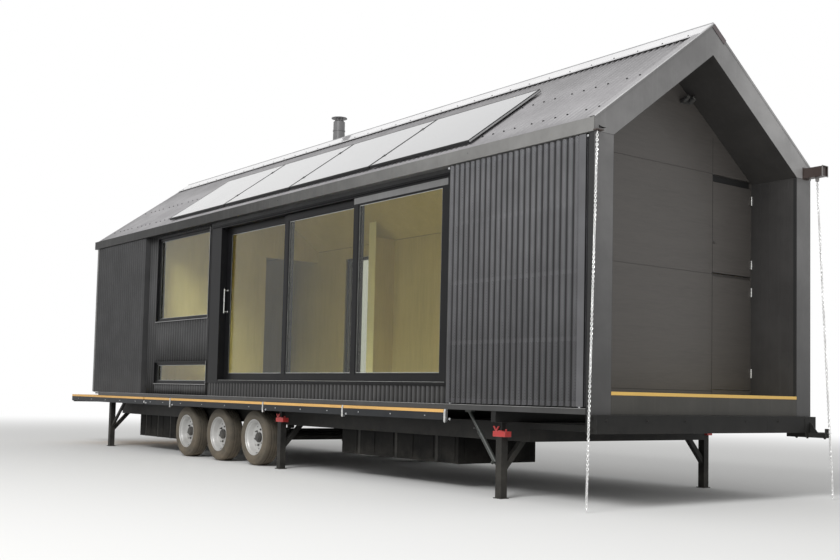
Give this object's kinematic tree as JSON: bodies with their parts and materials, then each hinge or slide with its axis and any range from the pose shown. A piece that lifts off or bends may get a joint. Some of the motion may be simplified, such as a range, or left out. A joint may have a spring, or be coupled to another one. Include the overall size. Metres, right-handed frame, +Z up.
{
  "type": "tiny house",
  "caption": "Dark corrugated tiny house on a multi-axle trailer, with a gabled porch, sliding glass doors and a side screen.",
  "frame": {"origin": "centre of the bounding box at ground level, under the feet of the legs", "axes": "+X from the drawbar to the gabled porch, -Y out of the glazed long side, +Z up"},
  "size_m": [12.733, 3.218, 4.92],
  "materials": {
    "chassis": "matt black paint with road dust",
    "deck_timber": "raw orange-toned timber",
    "platform_board": "black-stained board",
    "interior_ply": "clear-coated pale ply",
    "cladding": "charcoal corrugated steel, satin",
    "porch_board": "dark stained ply",
    "flashing": "mid-grey folded flashing, satin",
    "roofing": "grey corrugated steel",
    "ridge_metal": "pale grey folded steel",
    "galvanised": "bright galvanised steel",
    "flue_paint": "matt black heat-proof paint",
    "solar_cells": "dark blue-black cells under glass",
    "joinery": "powder-coated aluminium, charcoal",
    "glazing": "clear double glazing",
    "stainless": "satin stainless steel",
    "screen_metal": "perforated corrugated steel, charcoal",
    "ledge_metal": "pale grey folded track",
    "skirt_paint": "blue-grey painted board",
    "jack_red": "red gloss paint, worn",
    "tank_plastic": "black polyethylene",
    "tyre_rubber": "dusty tyre rubber",
    "rim_silver": "silver painted steel wheel"
  },
  "bodies": {
    "house": {"side_rails": "chassis", "cross_members": "chassis", "end_beam": "chassis", "drawbar": "chassis", "front_deck": "deck_timber", "floor_platform": "platform_board", "floor_ply": "interior_ply", "left_front_panel": "cladding", "kitchen_wall": "cladding", "base_strip": "cladding", "head_beam": "cladding", "right_front_wall": "cladding", "back_wall": "cladding", "left_gable_wall": "cladding", "partitions": "interior_ply", "porch_wall": "porch_board", "porch_wall_head": "porch_board", "porch_lining": "cladding", "gable_frame": "flashing", "roof_slopes": "roofing", "ridge_cap": "ridge_metal", "gutters": "flashing", "rain_chains": "galvanised", "flue": "flue_paint", "solar_array": "solar_cells", "window_frames": "joinery", "window_panes": "glazing", "door_frame": "joinery", "base_ledge": "ledge_metal", "skirt_boards": "skirt_paint", "skirt_strips": "deck_timber", "skirt_brackets": "galvanised", "legs": "chassis", "leg_strut": "galvanised", "jack_heads": "jack_red", "axles": "chassis", "tanks": "tank_plastic", "porch_light": "flue_paint", "locker_hinges": "galvanised", "locker_lining": "interior_ply"},
    "middle_leaf": {"middle_leaf": "joinery", "middle_pane": "glazing"},
    "leading_leaf": {"leading_leaf": "joinery", "leading_pane": "glazing", "pull_handle": "stainless"},
    "side_screen": {"side_screen": "screen_metal"},
    "upper_locker_door": {"upper_locker_door": "porch_board"},
    "lower_locker_door": {"lower_locker_door": "porch_board"},
    "near_wheel_1": {"near_tyre_1": "tyre_rubber", "near_rim_1": "rim_silver"},
    "near_wheel_2": {"near_tyre_2": "tyre_rubber", "near_rim_2": "rim_silver"},
    "near_wheel_3": {"near_tyre_3": "tyre_rubber", "near_rim_3": "rim_silver"},
    "far_wheel_1": {"far_tyre_1": "tyre_rubber", "far_rim_1": "rim_silver"},
    "far_wheel_2": {"far_tyre_2": "tyre_rubber", "far_rim_2": "rim_silver"},
    "far_wheel_3": {"far_tyre_3": "tyre_rubber", "far_rim_3": "rim_silver"}
  },
  "joints": [
    {"name": "middle_leaf_slide", "type": "slide", "parent": "house", "child": "middle_leaf", "axis": [1, 0, 0], "range_m": [0, 1.5]},
    {"name": "leading_leaf_slide", "type": "slide", "parent": "middle_leaf", "child": "leading_leaf", "axis": [1, 0, 0], "range_m": [0, 1.4]},
    {"name": "side_screen_slide", "type": "slide", "parent": "house", "child": "side_screen", "axis": [-1, 0, 0], "range_m": [0, 7.1]},
    {"name": "upper_locker_hinge", "type": "hinge", "parent": "house", "child": "upper_locker_door", "pos_m": [5.5315, 1.346, 2.483], "axis": [0, 0, 1], "range_deg": [0, 90]},
    {"name": "lower_locker_hinge", "type": "hinge", "parent": "house", "child": "lower_locker_door", "pos_m": [5.5315, 1.346, 1.583], "axis": [0, 0, 1], "range_deg": [0, 90]},
    {"name": "near_wheel_1_spin", "type": "hinge", "parent": "house", "child": "near_wheel_1", "pos_m": [0.2835, -1.3385, 0.345], "axis": [0, 1, 0], "continuous": true},
    {"name": "near_wheel_2_spin", "type": "hinge", "parent": "house", "child": "near_wheel_2", "pos_m": [-0.6665, -1.3385, 0.345], "axis": [0, 1, 0], "continuous": true},
    {"name": "near_wheel_3_spin", "type": "hinge", "parent": "house", "child": "near_wheel_3", "pos_m": [-1.6165, -1.3385, 0.345], "axis": [0, 1, 0], "continuous": true},
    {"name": "far_wheel_1_spin", "type": "hinge", "parent": "house", "child": "far_wheel_1", "pos_m": [0.2835, 1.4065, 0.345], "axis": [0, 1, 0], "continuous": true},
    {"name": "far_wheel_2_spin", "type": "hinge", "parent": "house", "child": "far_wheel_2", "pos_m": [-0.6665, 1.4065, 0.345], "axis": [0, 1, 0], "continuous": true},
    {"name": "far_wheel_3_spin", "type": "hinge", "parent": "house", "child": "far_wheel_3", "pos_m": [-1.6165, 1.4065, 0.345], "axis": [0, 1, 0], "continuous": true}
  ]
}
